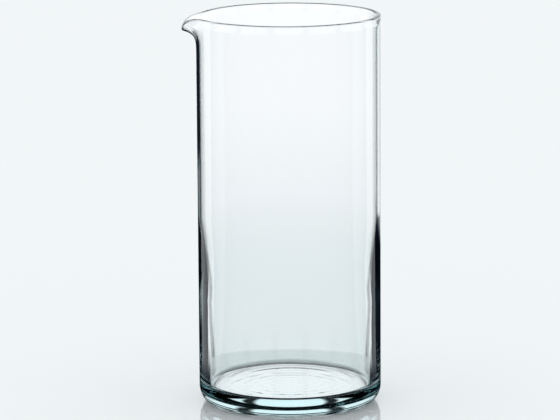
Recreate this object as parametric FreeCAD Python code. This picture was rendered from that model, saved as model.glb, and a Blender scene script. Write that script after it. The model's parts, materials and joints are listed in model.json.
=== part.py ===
import FreeCAD, Part
import math
import os

# A mixing glass for stirred drinks: one piece of clear glass, in millimetres.
# It stands on its flat underside. The origin is the centre of that underside, +Z points up
# out of the mouth, and the pouring lip points along -X.
#
# The body is a straight cylinder with a thick base, and its wall thickens towards the base.
# The last stretch below the rim is a thin sheet of glass with a rounded edge, and the
# pouring lip is pulled out of it.

# ---- driving dimensions ----------------------------------------------------------------

outer_diameter = 80.0
height = 171.0
wall = 1.6                  # upper wall, and the sheet that the lip is pulled from

base_thickness = 7.8        # glass under the inner floor
foot_round_width = 5.0      # rounded outer corner at the foot, in from the wall
foot_round_height = 7.2     # the same corner, up from the underside
floor_round = 2.2           # radius between the inner floor and the wall

lower_wall = 4.6            # wall just above the floor round
waist_wall = 3.7            # wall where the thick glass of the base starts to thin out
waist_above_floor = 38.0
thinning_length = 38.0      # from there up to the full straight wall

lip_zone = 28.0             # how far below the rim the lip starts to bend the wall
lip_tilt = 66.0             # lean of the sheet at the middle of the lip's edge, degrees
lip_width = 11.8            # half width of that lean, degrees round the rim
bend_length = 7.5           # depth over which the lean dies away below the edge
bend_sharpness = 2.5        # higher keeps the lean to the edge, then ends it sooner
flank_tilt = 1.0            # slight lean inwards of the rim beside the lip, degrees
flank_angle = 33.0          # where, degrees from the middle of the lip
flank_width = 24.0          # degrees
drip_dip = 1.75             # how far the drip point is drawn down below the bent edge
drip_width = 3.6            # half width of the drip point, degrees
rim_sag = 0.5               # shallow dip of the rim around the lip
rim_sag_width = 29.0        # degrees

# ---- how finely the lip's skin is laid out ----------------------------------------------

points_per_ring = 120
wall_rings = 15             # down each side of the sheet
edge_rings = 5              # round its rounded edge, between the two sides

steps_per_ring = 8          # small steps that follow the bend from one ring to the next

# ---- derived ----------------------------------------------------------------------------

outer_radius = outer_diameter / 2
inner_radius = outer_radius - wall
sheet_radius = outer_radius - wall / 2
sheet_length = lip_zone - wall / 2
skin_bottom = height - lip_zone
straight_bottom = base_thickness + waist_above_floor + thinning_length


def bump(angle, middle, half_width):
    """Smooth hill round the rim: 1 at its middle, with the angles in degrees."""
    return math.exp(-((angle - middle) / half_width) ** 2)


def tilt_at(angle, depth):
    """Lean of the sheet out from upright, in radians, at a depth below its edge."""
    lean_out = lip_tilt * bump(angle, 0, lip_width)
    flanks = bump(angle, -flank_angle, flank_width) + bump(angle, flank_angle, flank_width)
    fade = math.exp(-(depth / bend_length) ** bend_sharpness)
    calm = (1 - (depth / sheet_length) ** 2) ** 2
    return math.radians(lean_out - flank_tilt * flanks) * fade * calm


def drop_at(angle, depth):
    """How far the sheet is drawn down, most at its edge."""
    share = depth / sheet_length
    edge_drop = drip_dip * bump(angle, 0, drip_width) + rim_sag * bump(angle, 0, rim_sag_width)
    return edge_drop * (1 - share) ** 2 * (1 + 2 * share)


def sheet_depths():
    """Depth of each ring, from the plain wall up to the edge, closer where the lip bends."""
    return [sheet_length * (1 - i / wall_rings) ** 1.5 for i in range(wall_rings + 1)]


def sheet_line(angle):
    """Middle of the sheet at one angle: (radius, z, tilt) at each ring's depth.

    The sheet keeps its length as it bends, so the line is followed up from the plain wall.
    """
    depths = sheet_depths()
    radius = sheet_radius
    height_here = skin_bottom
    line = [(radius, height_here - drop_at(angle, depths[0]), tilt_at(angle, depths[0]))]
    for lower, upper in zip(depths, depths[1:]):
        step = (lower - upper) / steps_per_ring
        for i in range(steps_per_ring):
            tilt = tilt_at(angle, lower - step * (i + 0.5))
            radius += step * math.sin(tilt)
            height_here += step * math.cos(tilt)
        line.append((radius, height_here - drop_at(angle, upper), tilt_at(angle, upper)))
    return line


def round_point(radius, angle, z):
    """Point at a radius and height, with the angle counted from the lip's own direction."""
    turn = math.radians(180 + angle)
    return FreeCAD.Vector(radius * math.cos(turn), radius * math.sin(turn), z)


def sheet_frames():
    """For each ring's depth, the (middle, outward normal, up direction) all round it."""
    # the seam is opposite the lip
    angles = [360 * i / points_per_ring - 180 for i in range(points_per_ring)]
    lines = [sheet_line(angle) for angle in angles]
    frames = []
    for level in range(wall_rings + 1):
        middles = [round_point(line[level][0], angle, line[level][1])
                   for angle, line in zip(angles, lines)]
        ring = []
        for i, (angle, line) in enumerate(zip(angles, lines)):
            tilt = line[level][2]
            up = round_point(math.sin(tilt), angle, math.cos(tilt))
            along = middles[(i + 1) % points_per_ring] - middles[i - 1]
            normal = along.cross(up)
            normal.normalize()
            ring.append((middles[i], normal, up))
        frames.append(ring)
    return frames


def skin_ring(frames, tilt):
    """Points round the skin: tilt 0 is the outside, 90 the top of the edge, 180 the inside."""
    across = wall / 2 * math.cos(math.radians(tilt))
    above = wall / 2 * math.sin(math.radians(tilt))
    return [middle + normal * across + up * above for middle, normal, up in frames]


def lip_skin():
    """One closed surface round the glass sheet, from the outer wall over to the inner."""
    frames = sheet_frames()
    depths = sheet_depths()
    edge_tilts = [180 * i / (edge_rings + 1) for i in range(1, edge_rings + 1)]
    rings = [skin_ring(level, 0) for level in frames]
    rings += [skin_ring(frames[-1], tilt) for tilt in edge_tilts]
    rings += [skin_ring(level, 180) for level in reversed(frames)]

    # how far each ring lies along the skin, measured on the plain wall
    edge_arc = math.pi * wall / 2
    way = [sheet_length - depth for depth in depths]
    way += [sheet_length + edge_arc * tilt / 180 for tilt in edge_tilts]
    way += [sheet_length + edge_arc + depth for depth in reversed(depths)]

    turns = [i / points_per_ring for i in range(points_per_ring + 1)]
    hoops = []
    for points in rings:
        hoop = Part.BSplineCurve()
        hoop.interpolate(Points=points, PeriodicFlag=True, Parameters=turns)
        hoops.append(hoop)

    columns = []
    for column_poles in zip(*[hoop.getPoles() for hoop in hoops]):
        column = Part.BSplineCurve()
        column.interpolate(Points=list(column_poles), Parameters=way)
        columns.append(column)

    surface = Part.BSplineSurface()
    surface.buildFromPolesMultsKnots(
        [column.getPoles() for column in columns],
        hoops[0].getMultiplicities(), columns[0].getMultiplicities(),
        hoops[0].getKnots(), columns[0].getKnots(),
        True, False, hoops[0].Degree, columns[0].Degree)
    return surface.toShape()


def at(radius, z):
    """Point of the profile, in the XZ plane."""
    return FreeCAD.Vector(radius, 0, z)


def outer_profile():
    """From the middle of the underside, round the foot and up the outer wall."""
    foot_radius = outer_radius - foot_round_width
    corner = Part.BSplineCurve()
    corner_points = []
    for turn in (0, 15, 30, 45, 60, 75, 90):
        across = foot_round_width * math.sin(math.radians(turn))
        up = foot_round_height * (1 - math.cos(math.radians(turn)))
        corner_points.append(at(foot_radius + across, up))
    corner.interpolate(Points=corner_points, InitialTangent=at(1, 0), FinalTangent=at(0, 1))
    underside = Part.LineSegment(at(0, 0), at(foot_radius, 0))
    side = Part.LineSegment(at(outer_radius, foot_round_height), at(outer_radius, skin_bottom))
    return Part.Wire([underside.toShape(), corner.toShape(), side.toShape()])


def inner_profile():
    """From the foot of the lip zone, down the inner wall and across the floor."""
    lower_radius = outer_radius - lower_wall
    round_top = base_thickness + floor_round
    waist = at(outer_radius - waist_wall, base_thickness + waist_above_floor)
    straight = Part.LineSegment(at(inner_radius, skin_bottom), at(inner_radius, straight_bottom))
    thickening = Part.BSplineCurve()
    thickening.interpolate(
        Points=[at(inner_radius, straight_bottom), waist, at(lower_radius, round_top)],
        InitialTangent=at(0, -1), FinalTangent=at(0, -1))
    middle = math.radians(45)
    floor_arc = Part.Arc(
        at(lower_radius, round_top),
        at(lower_radius - floor_round * (1 - math.cos(middle)),
           round_top - floor_round * math.sin(middle)),
        at(lower_radius - floor_round, base_thickness))
    floor = Part.LineSegment(at(lower_radius - floor_round, base_thickness), at(0, base_thickness))
    edges = [straight, thickening, floor_arc, floor]
    return Part.Wire([edge.toShape() for edge in edges])


def glass_vessel():
    """The whole vessel: turned faces below, the lip's skin above, sewn into one solid."""
    origin = FreeCAD.Vector(0, 0, 0)
    up = FreeCAD.Vector(0, 0, 1)
    faces = list(lip_skin().Faces)
    for profile in (outer_profile(), inner_profile()):
        faces.extend(profile.revolve(origin, up, 360).Faces)
    skin = Part.makeCompound(faces)
    skin.sewShape()
    solid = Part.Solid(skin.Shells[0])
    if solid.Volume < 0:
        solid.reverse()
    if not (solid.isValid() and solid.isClosed() and len(skin.Shells) == 1):
        raise ValueError("the vessel's faces don't close into one solid")
    return solid


os.makedirs("parts", exist_ok=True)
vessel = glass_vessel()
vessel.exportStep("parts/glass_vessel.step")
box = vessel.BoundBox
print("glass_vessel: %.1f x %.1f x %.1f mm" % (box.XLength, box.YLength, box.ZLength))
print("glass: %.1f cm3" % (vessel.Volume / 1000))
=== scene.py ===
# %% [markdown]
# # A mixing glass
#
# A mixing glass is a tall straight-sided vessel for stirring drinks over ice. The whole of it
# is one piece of clear glass: a heavy base, a wall that thins as it rises, a rim melted smooth
# in a flame, and a pouring lip pulled out of the rim while the glass is still soft.
#
# There is only one piece to model, so all the care goes into its section, its lip, the small
# unevenness of worked glass, and the light around it. Clear glass has no look of its own. It
# shows its surroundings, bent, so the studio at the end is as much a part of the picture. In
# another scene the same glass looks different.

# %% Load the frame
import json
import math

import bmesh
import bpy
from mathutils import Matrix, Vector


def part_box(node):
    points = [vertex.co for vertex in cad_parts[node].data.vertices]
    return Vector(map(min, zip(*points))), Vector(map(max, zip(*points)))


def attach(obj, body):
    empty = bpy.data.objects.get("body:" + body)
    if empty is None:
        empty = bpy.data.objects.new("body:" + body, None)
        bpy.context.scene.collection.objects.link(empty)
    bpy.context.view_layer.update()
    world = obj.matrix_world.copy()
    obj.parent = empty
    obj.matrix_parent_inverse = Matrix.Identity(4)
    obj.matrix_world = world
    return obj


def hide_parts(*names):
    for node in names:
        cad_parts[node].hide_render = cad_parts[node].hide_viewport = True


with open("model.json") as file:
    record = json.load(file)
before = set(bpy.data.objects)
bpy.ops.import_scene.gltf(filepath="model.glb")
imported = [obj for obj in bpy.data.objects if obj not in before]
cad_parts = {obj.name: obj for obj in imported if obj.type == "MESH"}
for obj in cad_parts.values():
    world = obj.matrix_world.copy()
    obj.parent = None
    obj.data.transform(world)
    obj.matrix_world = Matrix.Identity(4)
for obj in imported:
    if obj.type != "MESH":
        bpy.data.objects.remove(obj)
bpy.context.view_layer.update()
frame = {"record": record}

MM = 0.001

# %% [markdown]
# ## Sizes
#
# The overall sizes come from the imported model, so the glass drawn here can't drift from the
# one that was constructed. The outer radius and the height are read from the node's box, and
# the wall from the mouth, whose radius is a stated mount.

# %% Sizes
low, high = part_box("glass_vessel")
outer_radius = high.y
height = high.z
mouth = next(m for m in frame["record"]["mounts"] if m["name"] == "mouth")
inner_radius = mouth["dims"]["r_mm"] * MM
wall = outer_radius - inner_radius

base_thickness = 7.8 * MM
foot_round_width = 5.0 * MM
foot_round_height = 7.2 * MM
floor_round = 2.2 * MM
lower_wall = 4.6 * MM
waist_wall = 3.7 * MM
waist_height = base_thickness + 38.0 * MM
straight_bottom = mouth["pos_m"][2] - mouth["dims"]["length_mm"] * MM / 2
lip_zone = 28.0 * MM
sheet_length = lip_zone - wall / 2
skin_bottom = height - lip_zone
print("outer radius %.2f, wall %.2f, height %.2f mm" % (outer_radius / MM, wall / MM, height / MM))

# %% [markdown]
# ## The half section
#
# A turned shape is fully described by half of its section: one line that starts at the middle
# of the underside, goes round the foot, up the outside, over the rim, down the inside and back
# to the middle of the inner floor. Each point of the line also says what kind of glass it is.
#
# - `level` and `roll` are for points on the thin sheet that the lip is pulled from. `level`
#   counts up the sheet, and `roll` goes from 0 on its outside to 180 on its inside.
# - `wave` is how much the surface there was left uneven. The outside was shaped by a smooth
#   mould, while the inside cooled freely.
# - `ripple` marks the inner floor, where the last of the glass settled in faint rings.

# %% The section's points
SHEET_LEVELS = 30
EDGE_POINTS = 13
UPPER_WALL_WAVE = 0.12
WAVE_ENDS_AT = straight_bottom + 12 * MM
WAVE_FADE = 60 * MM
FLOOR_WAVE = 0.5
section = []


def add_point(radius, z, level=-1, roll=0.0, wave=0.0, ripple=0.0):
    section.append({"co": (radius, 0.0, z), "level": level, "roll": roll,
                    "wave": wave, "ripple": ripple})


def steps(start, end, count):
    """count numbers that lead up to end, without start itself."""
    return [start + (end - start) * (i + 1) / count for i in range(count)]


def outside_of_the_body():
    foot_radius = outer_radius - foot_round_width
    add_point(0.0, 0.0)
    for radius in steps(0.0, foot_radius, 12):
        add_point(radius, 0.0)
    for turn in steps(0.0, math.pi / 2, 18):
        add_point(foot_radius + foot_round_width * math.sin(turn),
                  foot_round_height * (1 - math.cos(turn)))
    for z in steps(foot_round_height, skin_bottom, 44):
        add_point(outer_radius, z)


def sheet_and_edge():
    for level in range(1, SHEET_LEVELS + 1):
        add_point(outer_radius, 0.0, level=level, roll=0.0)
    for roll in steps(0.0, 180.0, EDGE_POINTS + 1)[:-1]:
        add_point(outer_radius, 0.0, level=SHEET_LEVELS, roll=roll)
    for level in range(SHEET_LEVELS, 0, -1):
        add_point(inner_radius, 0.0, level=level, roll=180.0)


def smooth(share):
    return share * share * (3 - 2 * share)


def inner_wall_radius(z):
    """The wall thins in two steps: slowly up to the waist, then quickly to the plain wall."""
    round_top = base_thickness + floor_round
    if z < waist_height:
        share = (z - round_top) / (waist_height - round_top)
        thickness = lower_wall + (waist_wall - lower_wall) * share
    else:
        share = min((z - waist_height) / (straight_bottom - waist_height), 1.0)
        thickness = waist_wall + (wall - waist_wall) * smooth(share)
    return outer_radius - thickness


def inside_of_the_body():
    round_top = base_thickness + floor_round
    lower_radius = outer_radius - lower_wall
    for z in steps(skin_bottom, round_top, 92):
        low_share = min(max((WAVE_ENDS_AT - z) / WAVE_FADE, 0.0), 1.0)
        wave = UPPER_WALL_WAVE + (1 - UPPER_WALL_WAVE) * smooth(low_share)
        add_point(inner_wall_radius(z), z, wave=wave)
    for turn in steps(0.0, math.pi / 2, 14):
        add_point(lower_radius - floor_round * (1 - math.cos(turn)),
                  round_top - floor_round * math.sin(turn), wave=1.0)
    floor_edge = lower_radius - floor_round
    for radius in steps(floor_edge, 0.0, 48):
        ripple = smooth(min(radius / floor_edge, 1.0))
        add_point(radius, base_thickness, wave=FLOOR_WAVE, ripple=ripple)


outside_of_the_body()
sheet_and_edge()
inside_of_the_body()
print("the section has", len(section), "points")

# %% [markdown]
# The line becomes a mesh of loose points. What each point knows goes with it as a named
# attribute, because Geometry Nodes can read attributes but not Python lists.

# %% The section as a mesh with attributes
section_mesh = bpy.data.meshes.new("half_section")
section_mesh.from_pydata([point["co"] for point in section], [], [])
for name in ("level", "roll", "wave", "ripple"):
    attribute = section_mesh.attributes.new(name, "FLOAT", "POINT")
    attribute.data.foreach_set("value", [float(point[name]) for point in section])
glass = bpy.data.objects.new("glass_vessel_blown", section_mesh)
bpy.context.scene.collection.objects.link(glass)
print("attributes:", [attribute.name for attribute in section_mesh.attributes])

# %% [markdown]
# ## Arithmetic with nodes
#
# Geometry Nodes work on fields: values that are different at every point. Written node by
# node, a formula is hard to read, so this small class lets a field be added and multiplied
# like a number, and puts down the Math node each time. `tree` is the tree being built.

# %% Fields that read like numbers
tree = bpy.data.node_groups.new("turn_and_pull_lip", "GeometryNodeTree")


def node(kind, **settings):
    made = tree.nodes.new(kind)
    for name, value in settings.items():
        setattr(made, name, value)
    return made


def plug(socket, value):
    """Links a field to a socket, or sets the socket when the value is a plain number."""
    if isinstance(value, Field):
        value = value.socket
    if isinstance(value, bpy.types.NodeSocket):
        tree.links.new(value, socket)
    else:
        socket.default_value = value


def calc(operation, *values):
    made = node("ShaderNodeMath", operation=operation)
    for socket, value in zip(made.inputs, values):
        plug(socket, value)
    return Field(made.outputs[0])


class Field:
    def __init__(self, socket):
        self.socket = socket

    def __add__(self, other):
        return calc("ADD", self, other)

    def __sub__(self, other):
        return calc("SUBTRACT", self, other)

    def __rsub__(self, other):
        return calc("SUBTRACT", other, self)

    def __mul__(self, other):
        return calc("MULTIPLY", self, other)

    def __truediv__(self, other):
        return calc("DIVIDE", self, other)

    def __pow__(self, other):
        return calc("POWER", self, other)

    __radd__ = __add__
    __rmul__ = __mul__


def bump(angle, middle, half_width):
    """A smooth hill round the rim: 1 at its middle. Angles are in degrees."""
    away = (angle - middle) / half_width
    return calc("EXPONENT", away * away * -1.0)


# %% [markdown]
# ## Inputs of the tree
#
# Everything a glass-blower could do differently is a named input: how far the lip is leaned
# out, how wide it is, over what depth it bends, and how uneven the inside is. `Bead` is the
# extra glass that the flame gathers on each side of the rim as it melts it round. The values
# are set on the modifier, by each socket's identifier, so the same tree makes other lips too.

# %% Named inputs
INPUTS = {
    "Columns": 288,
    "Lip lean": 66.0,
    "Lip half width": 11.8,
    "Bend depth": 7.5 * MM,
    "Bend sharpness": 2.5,
    "Flank lean": 1.0,
    "Flank angle": 33.0,
    "Flank half width": 24.0,
    "Drip point drop": 1.75 * MM,
    "Drip point half width": 3.6,
    "Rim sag": 0.5 * MM,
    "Rim sag half width": 29.0,
    "Bead": 0.22 * MM,
    "Bead depth": 1.8 * MM,
    "Wave height": 0.10 * MM,
    "Ripple height": 0.05 * MM,
    "Seed": 7.0,
}

tree.interface.new_socket("Geometry", in_out="INPUT", socket_type="NodeSocketGeometry")
tree.interface.new_socket("Geometry", in_out="OUTPUT", socket_type="NodeSocketGeometry")
identifiers = {}
for name, value in INPUTS.items():
    kind = "NodeSocketInt" if isinstance(value, int) else "NodeSocketFloat"
    item = tree.interface.new_socket(name, in_out="INPUT", socket_type=kind)
    identifiers[name] = item.identifier

group_in = node("NodeGroupInput")
group_out = node("NodeGroupOutput")
size = {name: Field(group_in.outputs[name]) for name in INPUTS}
print("inputs of the tree:", len(INPUTS))

# %% [markdown]
# ## The sheet and its lip
#
# Soft glass bends far more easily than it stretches. So the lip isn't a dent pushed into a
# cylinder: it is a sheet that keeps its length and leans outwards, most at the edge. Each
# column of the sheet is followed upwards from the plain wall in small steps. Every step goes
# a little outwards and a little up, as the lean there says, and the running totals of those
# steps are the radius and the height. The edge of the lip ends up lower than the rim for the
# same reason that it does on the real glass: the length that went outwards is missing in
# the height.
#
# An Accumulate Field node keeps the running totals, with one group for each column.

# %% A grid for the sheet
def grid(columns, rows):
    made = node("GeometryNodeMeshGrid")
    plug(made.inputs["Vertices X"], columns + 1)
    plug(made.inputs["Vertices Y"], rows)
    index = Field(node("GeometryNodeInputIndex").outputs[0])
    column = calc("FLOOR", (index + 0.5) / rows)
    row = index - column * rows
    return made.outputs["Mesh"], column, row


sheet_rows = SHEET_LEVELS + 1
sheet_grid, sheet_column, sheet_level = grid(size["Columns"], sheet_rows)
sheet_angle = sheet_column / size["Columns"] * 360.0 - 180.0


def depth_at(level):
    """Depth below the edge. The levels crowd together near the edge, where the lip bends."""
    left = calc("MAXIMUM", 1.0 - level / SHEET_LEVELS, 0.0)
    return left ** 1.5 * sheet_length


def lean_at(angle, depth):
    """How far the sheet leans out from upright, in radians."""
    flanks = (bump(angle, size["Flank angle"] * -1.0, size["Flank half width"])
              + bump(angle, size["Flank angle"], size["Flank half width"]))
    lean = (size["Lip lean"] * bump(angle, 0.0, size["Lip half width"])
            - size["Flank lean"] * flanks)
    fade = calc("EXPONENT", (depth / size["Bend depth"]) ** size["Bend sharpness"] * -1.0)
    share = depth / sheet_length
    calm = 1.0 - share * share
    return lean * fade * calm * calm * math.radians(1.0)


# %% [markdown]
# The lean is known at every depth, so the place of each point follows from the steps below
# it. The drip point and the shallow dip of the rim are drawn down afterwards, most at the edge.

# %% Follow each column of the sheet upwards
def running_total(value, group):
    made = node("GeometryNodeAccumulateField", data_type="FLOAT", domain="POINT")
    plug(made.inputs["Value"], value)
    plug(made.inputs[1], group)
    return Field(made.outputs["Leading"])


below = calc("MAXIMUM", sheet_level - 1.0, 0.0)
step = depth_at(below) - depth_at(sheet_level)
lean = lean_at(sheet_angle, (depth_at(below) + depth_at(sheet_level)) / 2.0)
sheet_radius = (outer_radius - wall / 2) + running_total(step * calc("SINE", lean), sheet_column)
sheet_share = depth_at(sheet_level) / sheet_length
drawn_down = (size["Drip point drop"] * bump(sheet_angle, 0.0, size["Drip point half width"])
              + size["Rim sag"] * bump(sheet_angle, 0.0, size["Rim sag half width"]))
settling = (1.0 - sheet_share) * (1.0 - sheet_share) * (1.0 + sheet_share * 2.0)
sheet_height = (skin_bottom + running_total(step * calc("COSINE", lean), sheet_column)
                - drawn_down * settling)


def vector(x, y, z):
    made = node("ShaderNodeCombineXYZ")
    for socket, value in zip(made.inputs, (x, y, z)):
        plug(socket, value)
    return made.outputs[0]


def round_point(radius, angle, z):
    """A point at a radius and height. The lip points along -X, and the seam is opposite it."""
    turn = (angle + 180.0) * math.radians(1.0)
    return vector(radius * calc("COSINE", turn), radius * calc("SINE", turn), z)


def move_points(geometry, position):
    made = node("GeometryNodeSetPosition")
    plug(made.inputs["Geometry"], geometry)
    plug(made.inputs["Position"], position)
    return made.outputs[0]


sheet = move_points(sheet_grid, round_point(sheet_radius, sheet_angle, sheet_height))

# %% [markdown]
# ## Turning the section
#
# A second grid becomes the glass itself: its columns go round and its rows go along the half
# section. Each point reads the section's point of its row. Points of the plain body just turn
# round the axis. Points with a level belong to the sheet: they find their place in the middle
# of it and step out by half the wall, on the outside, over the melted edge or on the inside.
# Because the step is square to the sheet, the lip keeps its thickness all the way out.

# %% Read the section and the sheet
skin_grid, column, row = grid(size["Columns"], len(section))
angle = column / size["Columns"] * 360.0 - 180.0


def sample(geometry, value, index, data_type):
    made = node("GeometryNodeSampleIndex", data_type=data_type, domain="POINT")
    plug(made.inputs["Geometry"], geometry)
    plug(made.inputs["Value"], value)
    plug(made.inputs["Index"], index)
    return made.outputs[0]


def section_value(name):
    named = node("GeometryNodeInputNamedAttribute", data_type="FLOAT")
    named.inputs["Name"].default_value = name
    return Field(sample(group_in.outputs["Geometry"], named.outputs["Attribute"], row, "FLOAT"))


position = node("GeometryNodeInputPosition").outputs[0]
section_place = node("ShaderNodeSeparateXYZ")
plug(section_place.inputs[0], sample(group_in.outputs["Geometry"], position, row, "FLOAT_VECTOR"))
section_radius = Field(section_place.outputs["X"])
section_height = Field(section_place.outputs["Z"])
level = section_value("level")
roll = section_value("roll") * math.radians(1.0)


def sheet_place(at_column, at_level):
    return sample(sheet, position, at_column * sheet_rows + at_level, "FLOAT_VECTOR")


def vector_calc(operation, *values):
    made = node("ShaderNodeVectorMath", operation=operation)
    sockets = [s for s in made.inputs if s.name == "Vector"]
    for socket, value in zip(sockets, values):
        plug(socket, value)
    return made.outputs["Vector"]


def times(direction, amount):
    made = node("ShaderNodeVectorMath", operation="SCALE")
    plug(made.inputs[0], direction)
    plug(made.inputs["Scale"], amount)
    return made.outputs["Vector"]


# %% [markdown]
# To step out squarely, each point needs to know which way its sheet faces. Its neighbours
# round the rim and up the sheet give two directions along the sheet, and their cross product
# points out of it. Near the edge the step grows by the bead.

# %% Step out from the middle of the sheet
on_sheet = calc("MAXIMUM", level, 0.0)
middle = sheet_place(column, on_sheet)
last = size["Columns"] - 1.0
next_column = calc("MODULO", column + 1.0, size["Columns"])
previous_column = calc("MODULO", column + last, size["Columns"])
along = vector_calc("SUBTRACT", sheet_place(next_column, on_sheet),
                    sheet_place(previous_column, on_sheet))
upper = sheet_place(column, calc("MINIMUM", on_sheet + 1.0, float(SHEET_LEVELS)))
lower = sheet_place(column, calc("MAXIMUM", on_sheet - 1.0, 0.0))
up = vector_calc("NORMALIZE", vector_calc("SUBTRACT", upper, lower))
out = vector_calc("NORMALIZE", vector_calc("CROSS_PRODUCT", along, up))
bead = calc("EXPONENT", (depth_at(on_sheet) / size["Bead depth"]) ** 2.0 * -1.0) * size["Bead"]
half_wall = bead + wall / 2
offset = vector_calc("ADD", times(out, calc("COSINE", roll) * half_wall),
                     times(up, calc("SINE", roll) * (wall / 2)))
sheet_point = vector_calc("ADD", middle, offset)
body_point = round_point(section_radius, angle, section_height)

choose = node("GeometryNodeSwitch", input_type="VECTOR")
is_sheet = node("FunctionNodeCompare", data_type="FLOAT", operation="GREATER_THAN")
plug(is_sheet.inputs["A"], level)
plug(is_sheet.inputs["B"], 0.5)
plug(choose.inputs["Switch"], is_sheet.outputs[0])
plug(choose.inputs["False"], body_point)
plug(choose.inputs["True"], sheet_point)
turned = move_points(skin_grid, choose.outputs[0])
print("nodes so far:", len(tree.nodes))

# %% [markdown]
# ## What the hot glass left behind
#
# Perfect geometry makes dead glass. The inside of a blown wall has long soft swells, wider
# round the glass than up it, and the inner floor has rings, like a drop that has just
# settled. Both are at most about a tenth of a millimetre high, and yet they bend the dark
# edge lines near the base and draw faint arcs on the floor. Their pattern is made up, from a
# fixed seed.

# %% Swells on the inside wall and rings on the floor
RING_SPACING = 4.6 * MM


def noise(scale, stretch, detail):
    """Smooth noise from -1 to 1, with a fixed seed as its fourth coordinate."""
    made = node("ShaderNodeTexNoise", noise_dimensions="4D")
    plug(made.inputs["Vector"], vector_calc("MULTIPLY", position, vector(*stretch)))
    plug(made.inputs["W"], size["Seed"])
    made.inputs["Scale"].default_value = scale
    made.inputs["Detail"].default_value = detail
    made.inputs["Roughness"].default_value = 0.45
    return (Field(made.outputs["Fac"]) - 0.5) * 2.0


place = node("ShaderNodeSeparateXYZ")
plug(place.inputs[0], position)
px, py, pz = (Field(socket) for socket in place.outputs)
from_axis = calc("SQRT", px * px + py * py)
outwards = vector_calc("NORMALIZE", vector(px, py, 0.0))
swell = (noise(26.0, (1.0, 1.0, 1.5), 1.0) + noise(70.0, (0.5, 0.5, 1.6), 1.0) * 0.35)
swell = swell * section_value("wave") * size["Wave height"]
uneven_spacing = noise(18.0, (1, 1, 1), 0.0) * 1.4
rings = calc("SINE", from_axis * (2 * math.pi / RING_SPACING) + uneven_spacing)
rings = rings * section_value("ripple") * size["Ripple height"]
is_floor = calc("LESS_THAN", calc("ABSOLUTE", pz - base_thickness), 0.02 * MM)
across = times(outwards, swell * (1.0 - is_floor))
upright = vector(0.0, 0.0, rings + swell * is_floor * 0.5)
uneven = move_points(turned, vector_calc("ADD", vector_calc("ADD", position, across), upright))

# %% [markdown]
# The first and the last column lie on top of each other, and so do all the points at each
# pole. Merging them closes the surface, so that light can tell inside from outside.

# %% Close the seam and hand over
merge = node("GeometryNodeMergeByDistance")
plug(merge.inputs["Geometry"], uneven)
merge.inputs["Distance"].default_value = 0.002 * MM
smooth_shade = node("GeometryNodeSetShadeSmooth")
plug(smooth_shade.inputs["Geometry"], merge.outputs[0])
realize = node("GeometryNodeRealizeInstances")
plug(realize.inputs["Geometry"], smooth_shade.outputs[0])
set_material = node("GeometryNodeSetMaterial")
plug(set_material.inputs["Geometry"], realize.outputs[0])
plug(group_out.inputs["Geometry"], set_material.outputs[0])
print("nodes in the tree:", len(tree.nodes))

# %% [markdown]
# ## Clear glass
#
# Clear glass isn't colourless: a trace of iron absorbs red light, so a thick piece looks
# grey-green along its length while a thin one looks white. The tint therefore belongs inside
# the glass, as absorption, and not on its surface. Seen through the wall there is almost
# none, and along the 80 mm of the base it shows. How strong it is here is a guess.
#
# The surface is flame-polished, so it has almost no roughness. Handling leaves the faintest
# haze, which is a noise that lifts the roughness by a hair in soft patches.

# %% The glass material
def material_nodes(name):
    material = bpy.data.materials.new(name)
    material.use_nodes = True
    return material, material.node_tree


clear_glass, shader_tree = material_nodes("clear_polished_glass")
surface = shader_tree.nodes["Principled BSDF"]
surface.inputs["Base Color"].default_value = (1.0, 1.0, 1.0, 1.0)
surface.inputs["IOR"].default_value = 1.517
surface.inputs["Transmission Weight"].default_value = 1.0
tint = shader_tree.nodes.new("ShaderNodeVolumeAbsorption")
tint.inputs["Color"].default_value = (0.30, 0.86, 0.92, 1.0)
tint.inputs["Density"].default_value = 6.0
shader_tree.links.new(tint.outputs[0], shader_tree.nodes["Material Output"].inputs["Volume"])

coordinates = shader_tree.nodes.new("ShaderNodeTexCoord")
haze = shader_tree.nodes.new("ShaderNodeTexNoise")
haze.inputs["Scale"].default_value = 45.0
haze.inputs["Detail"].default_value = 3.0
shader_tree.links.new(coordinates.outputs["Object"], haze.inputs["Vector"])
patches = shader_tree.nodes.new("ShaderNodeMapRange")
patches.inputs["From Min"].default_value = 0.45
patches.inputs["From Max"].default_value = 0.80
patches.inputs["To Min"].default_value = 0.0
patches.inputs["To Max"].default_value = 0.012
shader_tree.links.new(haze.outputs["Fac"], patches.inputs["Value"])
shader_tree.links.new(patches.outputs[0], surface.inputs["Roughness"])
set_material.inputs["Material"].default_value = clear_glass
print("glass: index", round(surface.inputs["IOR"].default_value, 3))

# %% [markdown]
# ## Make the mesh
#
# The modifier gets its inputs and is evaluated once. The result is kept as a plain mesh, with
# any doubled points at the poles merged and its faces turned outwards. A closed solid with
# its faces the right way round has a positive volume, which is an easy thing to check.

# %% Evaluate and keep the result
modifier = glass.modifiers.new("turn_and_pull_lip", "NODES")
modifier.node_group = tree
for name, value in INPUTS.items():
    modifier[identifiers[name]] = value
bpy.context.view_layer.update()
evaluated = glass.evaluated_get(bpy.context.evaluated_depsgraph_get())
glass_mesh = bpy.data.meshes.new_from_object(evaluated)
glass.modifiers.remove(modifier)
glass.data = glass_mesh

shape = bmesh.new()
shape.from_mesh(glass_mesh)
bmesh.ops.remove_doubles(shape, verts=shape.verts, dist=0.001 * MM)
bmesh.ops.recalc_face_normals(shape, faces=shape.faces)
open_edges = sum(1 for edge in shape.edges if not edge.is_manifold)
volume = shape.calc_volume(signed=True)
shape.to_mesh(glass_mesh)
shape.free()
glass_mesh.shade_smooth()
faces = len(glass_mesh.polygons)
print("glass: %d faces, %d open edges, %.1f cm3" % (faces, open_edges, volume * 1e6))

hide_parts("glass_vessel")
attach(glass, "root")

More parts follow.
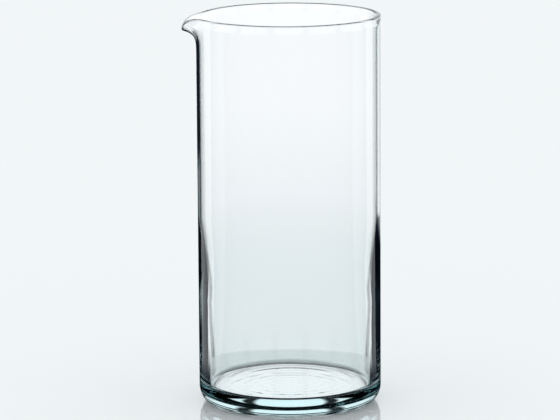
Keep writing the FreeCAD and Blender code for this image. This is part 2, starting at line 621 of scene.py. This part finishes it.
# %% [markdown]
# ## The camera
#
# A long lens from a metre and a half away, a little above the rim, looking down. A long lens
# keeps the sides of a tall glass nearly parallel.

# %% Camera
CAMERA_PLACE = (0.0, -1.5419, 0.37508)
CAMERA_ANGLES = (79.3313, 0.3604, 0.0811)
CAMERA_LENS = 230.32
camera_data = bpy.data.cameras.new("camera")
camera_data.lens = CAMERA_LENS
camera = bpy.data.objects.new("camera", camera_data)
camera.location = CAMERA_PLACE
camera.rotation_mode = "XYZ"
camera.rotation_euler = [math.radians(angle) for angle in CAMERA_ANGLES]
bpy.context.scene.collection.objects.link(camera)
bpy.context.scene.camera = camera
print("camera at", CAMERA_PLACE, "with a lens of", CAMERA_LENS, "mm")

# %% [markdown]
# ## The studio
#
# A clear glass in a white room almost disappears. Studios light glass with a bright field
# instead: what lies right behind the glass is bright, and what lies a little to each side of
# it is dark. Straight through the glass the eye sees the bright part. At the edges
# the glass bends the view sideways, out into the dark, and draws its own outline as a black
# line.
#
# A real bright-field set shows its black cards in the open view, and this stage is plain in
# the open view. So it isn't a physical room. A Light Path node tells light that has met the
# glass from light that hasn't, and only the first kind sees the dark parts and the painted
# reflections, which are glowing patches on the floor. They are fixed in the scene and don't
# follow the camera. This is a trick of the stage, and the glass itself knows nothing of it.

# %% Helpers for the stage's materials
def math_node(nodes, operation, first, second=None):
    made = nodes.nodes.new("ShaderNodeMath")
    made.operation = operation
    for socket, value in zip(made.inputs, (first, second)):
        if isinstance(value, bpy.types.NodeSocket):
            nodes.links.new(value, socket)
        elif value is not None:
            socket.default_value = value
    return made.outputs[0]


def ease(nodes, value, start, end):
    """A soft step: 0 before start and 1 after end, or falling when start is the larger."""
    made = nodes.nodes.new("ShaderNodeMapRange")
    made.interpolation_type = "SMOOTHSTEP"
    nodes.links.new(value, made.inputs["Value"])
    made.inputs["From Min"].default_value = min(start, end)
    made.inputs["From Max"].default_value = max(start, end)
    made.inputs["To Min"].default_value = float(start > end)
    made.inputs["To Max"].default_value = float(start < end)
    return made.outputs[0]


def tone_value(nodes, share, first, second):
    """first where share is 0 and second where it is 1."""
    made = nodes.nodes.new("ShaderNodeMix")
    nodes.links.new(share, made.inputs[0])
    for socket, value in ((made.inputs[2], first), (made.inputs[3], second)):
        if isinstance(value, bpy.types.NodeSocket):
            nodes.links.new(value, socket)
        else:
            socket.default_value = value
    return made.outputs[0]


def separate(nodes, socket):
    made = nodes.nodes.new("ShaderNodeSeparateXYZ")
    nodes.links.new(socket, made.inputs[0])
    return made.outputs


# %% [markdown]
# A ray counts how often it has passed through a surface and how often it was mirrored. One
# wall of the glass has two surfaces, so a ray that has passed through both walls has crossed
# four.

# %% What a ray has been through
def light_story(nodes):
    """Yes-or-no numbers: it met glass, was mirrored, went inside, crossed both walls."""
    path = nodes.nodes.new("ShaderNodeLightPath")
    crossings = path.outputs["Transmission Depth"]
    mirrorings = path.outputs["Glossy Depth"]
    unscattered = math_node(nodes, "LESS_THAN", path.outputs["Diffuse Depth"], 0.5)
    bends = math_node(nodes, "ADD", crossings, mirrorings)
    met_any = math_node(nodes, "GREATER_THAN", bends, 0.5)
    met_glass = math_node(nodes, "MULTIPLY", met_any, unscattered)
    mirrored = math_node(nodes, "GREATER_THAN", mirrorings, 0.5)
    went_inside = math_node(nodes, "GREATER_THAN", crossings, 0.5)
    crossed_both = math_node(nodes, "GREATER_THAN", crossings, 3.5)
    return met_glass, mirrored, went_inside, crossed_both


# %% [markdown]
# The room is even and pale for the floor and for the open view. For light that has met the
# glass, or was mirrored by the floor, it has bright bands of backdrop, dark gaps between
# them and a dark ceiling. The bands repeat eight times round, so that the glass has its dark
# outline from every side.

# %% Room
ROOM_LIGHT = 1.0
BACKDROP_LIGHT = 1.10
ROOM_TONE = (0.955, 0.985, 1.0, 1.0)
DARK_FIELD = 0.02
SECTORS = 8
BRIGHT_HALF_ANGLE = 18.5
SECTOR_SOFTNESS = 2.5
CEILING_START = 0.52
CEILING_END = 0.60
MOST_BOUNCES = 24
MOST_GLOSSY_BOUNCES = 12


def bright_sectors(nodes, x, y):
    """1 towards the bright bands of the backdrop and 0 towards the gaps between them."""
    turn = math_node(nodes, "ARCTAN2", y, x)
    wave = math_node(nodes, "COSINE", math_node(nodes, "MULTIPLY", turn, float(SECTORS)))
    start = math.cos(math.radians(SECTORS * (BRIGHT_HALF_ANGLE + SECTOR_SOFTNESS)))
    end = math.cos(math.radians(SECTORS * (BRIGHT_HALF_ANGLE - SECTOR_SOFTNESS)))
    return ease(nodes, wave, start, end)


def room():
    world = bpy.data.worlds.new("studio")
    bpy.context.scene.world = world
    world.use_nodes = True
    nodes = world.node_tree
    background = nodes.nodes["Background"]
    coordinates = nodes.nodes.new("ShaderNodeTexCoord")
    x, y, z = separate(nodes, coordinates.outputs["Generated"])
    field = bright_sectors(nodes, x, y)
    ceiling = ease(nodes, z, CEILING_START, CEILING_END)
    lit = math_node(nodes, "MULTIPLY", field, math_node(nodes, "SUBTRACT", 1.0, ceiling))
    lit = math_node(nodes, "MAXIMUM", lit, DARK_FIELD)
    plain = math_node(nodes, "SUBTRACT", 1.0, light_story(nodes)[0])
    lit = math_node(nodes, "MULTIPLY", lit, BACKDROP_LIGHT)
    strength = tone_value(nodes, plain, lit, ROOM_LIGHT)
    nodes.links.new(strength, background.inputs["Strength"])
    background.inputs["Color"].default_value = ROOM_TONE
    return world


studio = room()
bpy.context.scene.view_settings.view_transform = "Standard"
bpy.context.scene.cycles.max_bounces = MOST_BOUNCES
bpy.context.scene.cycles.transmission_bounces = MOST_BOUNCES
bpy.context.scene.cycles.glossy_bounces = MOST_GLOSSY_BOUNCES
print("the room has", len(studio.node_tree.nodes), "nodes")

# %% [markdown]
# ## The floor
#
# In the open view the floor is a wide pale table with a soft sheen. For light that has
# crossed the glass it is a mirror for the backdrop, with painted shade that makes it a little
# deeper in tone near the glass. It also has a painted grey shade glowing beside the glass and
# a painted pale light glowing right under it.
# For light that was mirrored in the glass it is a painted dark reflection, with white and grey
# patches of painted reflection glowing on it. Each patch covers the angles of its spread, in
# degrees out from the line straight behind that edge of the glass, and the distances from
# near to far behind it, in metres.

# %% Tones and painted reflections
FLOOR_RADIUS = 5.0
FLOOR_DROP = 0.3 * MM
NEAR_TONE = (0.96, 0.99, 0.99, 1.0)
FAR_TONE = (0.975, 0.985, 0.985, 1.0)
# Seen through the glass: the mirror's colour darkens near the glass as painted shade, the grey
# glow beside the glass is painted shade, and the pale glow under it is painted light.
NEAR_MIRROR = (0.782, 0.820, 0.823, 1.0)
FAR_MIRROR = (0.983, 0.974, 0.986, 1.0)
PAINTED_GLOW_UNDER = (0.93, 0.97, 0.98, 1.0)
PAINTED_SHADE_BESIDE = (0.62, 0.70, 0.71, 1.0)
# Painted reflections: glows on the floor that only light mirrored in the glass sees. The
# near-black one is painted dark reflection, the others are painted pale and grey reflections.
DARK_PAINTED_REFLECTION = (0.006, 0.010, 0.016, 1.0)
SIDE_PAINTED_REFLECTION = (0.66, 0.71, 0.72, 1.0)
GREY_PAINTED_REFLECTION = (0.27, 0.33, 0.34, 1.0)
WHITE_PAINTED_REFLECTION = (0.90, 0.96, 0.97, 1.0)

LEFT = -1.0
RIGHT = 1.0
PATCH_EDGE = 3
# Where the patches of painted reflection glow on the floor.
OUTER_SIDES = [
    {"side": LEFT, "spread": (31, 95), "near": -0.1, "far": 4.0},
    {"side": RIGHT, "spread": (42, 95), "near": -0.1, "far": 4.0},
    {"side": RIGHT, "spread": (-8, 45), "near": 0.33, "far": 4.0},
]
INNER_SIDES = [
    {"side": LEFT, "spread": (44, 62), "near": -0.1, "far": 4.0},
    {"side": RIGHT, "spread": (44, 62), "near": -0.1, "far": 4.0},
]
GREY_PLACE = {"side": LEFT, "spread": (3, 22), "near": 0.09, "far": 0.55}
WHITE_PLACE = {"side": RIGHT, "spread": (3, 25), "near": 0.33, "far": 4.0}
print("cards on the floor:", len(OUTER_SIDES) + len(INNER_SIDES) + 2)

# %% [markdown]
# The same few shapes and mixes come back in every part of the floor, so each is a helper.

# %% Helpers for the floor
def disc(name, radius, z, sides=128):
    mesh = bpy.data.meshes.new(name)
    shape = bmesh.new()
    bmesh.ops.create_circle(shape, cap_ends=True, segments=sides, radius=radius)
    bmesh.ops.translate(shape, verts=shape.verts, vec=(0, 0, z))
    shape.to_mesh(mesh)
    shape.free()
    made = bpy.data.objects.new(name, mesh)
    bpy.context.scene.collection.objects.link(made)
    return made


def tone(nodes, share, near, far):
    """The colour near where share is 0 and far where it is 1."""
    made = nodes.nodes.new("ShaderNodeMix")
    made.data_type = "RGBA"
    nodes.links.new(share, made.inputs[0])
    for socket, colour in ((made.inputs[6], near), (made.inputs[7], far)):
        if isinstance(colour, bpy.types.NodeSocket):
            nodes.links.new(colour, socket)
        else:
            socket.default_value = colour
    return made.outputs[2]


def blend(nodes, share, first, second):
    """The shader first where share is 0 and second where it is 1."""
    made = nodes.nodes.new("ShaderNodeMixShader")
    if isinstance(share, bpy.types.NodeSocket):
        nodes.links.new(share, made.inputs[0])
    else:
        made.inputs[0].default_value = share
    nodes.links.new(first, made.inputs[1])
    nodes.links.new(second, made.inputs[2])
    return made.outputs[0]


def glow(nodes, colour):
    made = nodes.nodes.new("ShaderNodeEmission")
    if isinstance(colour, bpy.types.NodeSocket):
        nodes.links.new(colour, made.inputs["Color"])
    else:
        made.inputs["Color"].default_value = colour
    return made.outputs[0]


def gloss(nodes, roughness):
    made = nodes.nodes.new("ShaderNodeBsdfGlossy")
    made.inputs["Roughness"].default_value = roughness
    return made


def strip(nodes, value, start, end, softness):
    """1 between start and end, with soft edges."""
    return math_node(nodes, "MULTIPLY", ease(nodes, value, start, start + softness),
                     ease(nodes, value, end + softness, end))


# A soft wedge of floor where a painted reflection glows.
def reflection_patch(nodes, x, y, side, spread, near, far):
    past_edge = math_node(nodes, "SUBTRACT", math_node(nodes, "MULTIPLY", x, side), outer_radius)
    angle = math_node(nodes, "ARCTAN2", past_edge, y)
    start, end = (math.radians(degrees) for degrees in spread)
    inside = strip(nodes, angle, start, end, math.radians(PATCH_EDGE))
    return math_node(nodes, "MULTIPLY", inside, strip(nodes, y, near, far, 0.08))


def any_reflection_patch(nodes, x, y, places):
    covered = reflection_patch(nodes, x, y, **places[0])
    for place in places[1:]:
        covered = math_node(nodes, "MAXIMUM", covered, reflection_patch(nodes, x, y, **place))
    return covered


# %% [markdown]
# Three kinds of light see three kinds of floor. Each has its own function, and the material
# chooses between them by what the ray has been through.

# %% Floor
def open_table(nodes, distance):
    matte = nodes.nodes.new("ShaderNodeBsdfDiffuse")
    colour = tone(nodes, ease(nodes, distance, 0.0, 1.5), NEAR_TONE, FAR_TONE)
    nodes.links.new(colour, matte.inputs["Color"])
    return blend(nodes, 0.45, matte.outputs[0], gloss(nodes, 0.08).outputs[0])


def table_through_glass(nodes, distance):
    """A mirror for the backdrop with painted shade that deepens it near the glass, a painted grey
    glow beside the glass and a painted pale glow right under it.
    """
    mirror = gloss(nodes, 0.04)
    # Painted shade: the mirror is deeper in tone near the glass.
    colour = tone(nodes, ease(nodes, distance, 0.0, 0.9), NEAR_MIRROR, FAR_MIRROR)
    nodes.links.new(colour, mirror.inputs["Color"])
    beside = math_node(nodes, "MULTIPLY", strip(nodes, distance, 0.038, 0.085, 0.006), 0.7)
    table = blend(nodes, beside, mirror.outputs[0], glow(nodes, PAINTED_SHADE_BESIDE))
    return blend(nodes, ease(nodes, distance, 0.036, 0.033), table, glow(nodes, PAINTED_GLOW_UNDER))


def table_in_reflections(nodes, x, y, distance, went_inside, crossed_both):
    """Painted dark reflection, with glowing patches of painted reflection. Behind both walls the
    painted reflection is an even glow, so it doesn't streak.
    """
    away = ease(nodes, distance, 0.07, 0.12)
    outer = math_node(nodes, "MULTIPLY", any_reflection_patch(nodes, x, y, OUTER_SIDES), away)
    inner = math_node(nodes, "MULTIPLY", any_reflection_patch(nodes, x, y, INNER_SIDES), away)
    outside = tone(nodes, outer, DARK_PAINTED_REFLECTION, SIDE_PAINTED_REFLECTION)
    inside = tone(nodes, inner, DARK_PAINTED_REFLECTION, ROOM_TONE)
    inside = tone(nodes, reflection_patch(nodes, x, y, **GREY_PLACE), inside, GREY_PAINTED_REFLECTION)
    inside = tone(nodes, reflection_patch(nodes, x, y, **WHITE_PLACE), inside, WHITE_PAINTED_REFLECTION)
    # Emission: the painted reflections glow instead of being lit.
    painted_reflections = glow(nodes, tone(nodes, went_inside, outside, inside))
    return blend(nodes, crossed_both, painted_reflections, glow(nodes, NEAR_MIRROR))


def floor_material():
    material, nodes = material_nodes("pale_table_with_painted_light")
    nodes.nodes.remove(nodes.nodes["Principled BSDF"])
    coordinates = nodes.nodes.new("ShaderNodeTexCoord")
    x, y, _ = separate(nodes, coordinates.outputs["Object"])
    squares = math_node(nodes, "ADD", math_node(nodes, "MULTIPLY", x, x),
                        math_node(nodes, "MULTIPLY", y, y))
    distance = math_node(nodes, "SQRT", squares)
    met_glass, mirrored, went_inside, crossed_both = light_story(nodes)
    reflected = table_in_reflections(nodes, x, y, distance, went_inside, crossed_both)
    through = blend(nodes, mirrored, table_through_glass(nodes, distance), reflected)
    surface = blend(nodes, met_glass, open_table(nodes, distance), through)
    nodes.links.new(surface, nodes.nodes["Material Output"].inputs["Surface"])
    return material


floor = disc("floor", FLOOR_RADIUS, -FLOOR_DROP)
floor.data.materials.append(floor_material())
print("the floor's material has", len(floor.data.materials[0].node_tree.nodes), "nodes")
